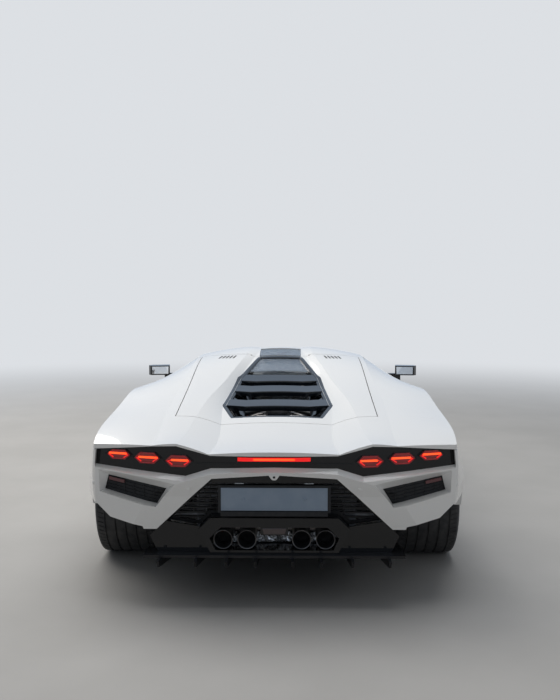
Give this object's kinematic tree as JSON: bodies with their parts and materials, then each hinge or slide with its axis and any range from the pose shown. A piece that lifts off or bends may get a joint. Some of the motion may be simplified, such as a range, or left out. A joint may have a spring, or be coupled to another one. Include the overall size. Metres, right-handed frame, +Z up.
{
  "type": "supercar",
  "caption": "Low wedge-shaped two-seat mid-engined supercar with scissor doors, louvred engine cover and hexagonal tail lamps.",
  "frame": {"origin": "on the ground, under the middle of the car's length and width", "axes": "+X forwards, +Y to the car's left, +Z up"},
  "size_m": [4.87, 2.2606, 1.1387],
  "materials": {
    "paint": "pearl white gloss",
    "black_gloss": "gloss black",
    "black_plastic": "satin black",
    "carbon": "woven carbon, satin",
    "glass": "tinted",
    "lamp_red": "clear red",
    "lamp_clear": "clear",
    "tyre": "matt",
    "rim": "dark satin",
    "steel": "machined",
    "exhaust_steel": "heat tinted",
    "cast": "cast",
    "leather": "fine grain",
    "plate": "satin"
  },
  "bodies": {
    "body": {"front_bumper": "paint", "headlamps": "lamp_clear", "front_fenders": "paint", "roof": "paint", "windshield": "glass", "roof_glass": "glass", "side_sills": "paint", "front_grilles": "black_plastic", "side_intakes": "black_plastic", "rear_quarters": "paint", "lamp_panel": "black_gloss", "tail_lamps": "lamp_red", "rear_deck": "paint", "rear_bumper": "paint", "rear_grille": "black_plastic", "exhaust_surround": "black_gloss", "diffuser": "carbon", "floor": "carbon", "front_bulkhead": "carbon", "rear_bulkhead": "carbon", "rear_window": "glass", "front_trunk": "black_plastic", "crash_rails": "cast", "rear_frame": "cast", "wheel_liners": "black_plastic", "front_splitter": "carbon", "rear_knuckles": "cast", "front_suspension": "cast", "rear_suspension": "cast", "dashboard": "black_plastic", "steering_column": "black_plastic", "seats": "leather", "engine": "cast", "exhaust": "exhaust_steel", "plate": "plate"},
    "door_left": {"door_left": "paint", "door_glass_left": "glass", "mirror_left": "black_gloss"},
    "door_right": {"door_right": "paint", "door_glass_right": "glass", "mirror_right": "black_gloss"},
    "front_lid": {"front_lid": "paint"},
    "engine_cover": {"engine_cover": "paint", "engine_louvres": "black_gloss", "cover_glass": "glass"},
    "steering_wheel": {"steering_wheel": "leather"},
    "knuckle_left": {"knuckle_left": "cast"},
    "knuckle_right": {"knuckle_right": "cast"},
    "wheel_front_left": {"rim_front_left": "rim", "tyre_front_left": "tyre"},
    "wheel_front_right": {"rim_front_right": "rim", "tyre_front_right": "tyre"},
    "wheel_rear_left": {"rim_rear_left": "rim", "tyre_rear_left": "tyre"},
    "wheel_rear_right": {"rim_rear_right": "rim", "tyre_rear_right": "tyre"}
  },
  "joints": [
    {"name": "door_left_lift", "type": "hinge", "parent": "body", "child": "door_left", "pos_m": [0.955, 0.77, 0.795], "axis": [0, 0.9925, -0.1219], "range_deg": [0, 70]},
    {"name": "door_right_lift", "type": "hinge", "parent": "body", "child": "door_right", "pos_m": [0.955, -0.77, 0.795], "axis": [0, 0.9925, 0.1219], "range_deg": [0, 70]},
    {"name": "front_lid_lift", "type": "hinge", "parent": "body", "child": "front_lid", "pos_m": [1.1, 0, 0.77], "axis": [0, -1, 0], "range_deg": [0, 60]},
    {"name": "engine_cover_lift", "type": "hinge", "parent": "body", "child": "engine_cover", "pos_m": [-0.398, 0, 1.104], "axis": [0, 1, 0], "range_deg": [0, 50]},
    {"name": "steer_left", "type": "hinge", "parent": "body", "child": "knuckle_left", "pos_m": [1.325, 0.85, 0.33], "axis": [0, 0, 1], "range_deg": [-30, 30]},
    {"name": "steer_right", "type": "hinge", "parent": "body", "child": "knuckle_right", "pos_m": [1.325, -0.85, 0.33], "axis": [0, 0, 1], "range_deg": [-30, 30]},
    {"name": "steering_wheel_turn", "type": "hinge", "parent": "body", "child": "steering_wheel", "pos_m": [0.455, 0.37, 0.7], "axis": [-0.9272, 0, 0.3746], "range_deg": [-360, 360]},
    {"name": "wheel_front_left_spin", "type": "hinge", "parent": "knuckle_left", "child": "wheel_front_left", "pos_m": [1.325, 0.88, 0.33], "axis": [0, 1, 0], "continuous": true},
    {"name": "wheel_front_right_spin", "type": "hinge", "parent": "knuckle_right", "child": "wheel_front_right", "pos_m": [1.325, -0.88, 0.33], "axis": [0, 1, 0], "continuous": true},
    {"name": "wheel_rear_left_spin", "type": "hinge", "parent": "body", "child": "wheel_rear_left", "pos_m": [-1.375, 0.8545, 0.355], "axis": [0, 1, 0], "continuous": true},
    {"name": "wheel_rear_right_spin", "type": "hinge", "parent": "body", "child": "wheel_rear_right", "pos_m": [-1.375, -0.8545, 0.355], "axis": [0, 1, 0], "continuous": true}
  ],
  "couplings": [
    {"joint": "steer_right", "follows": "steer_left", "ratio": 1},
    {"joint": "steering_wheel_turn", "follows": "steer_left", "ratio": 12}
  ]
}
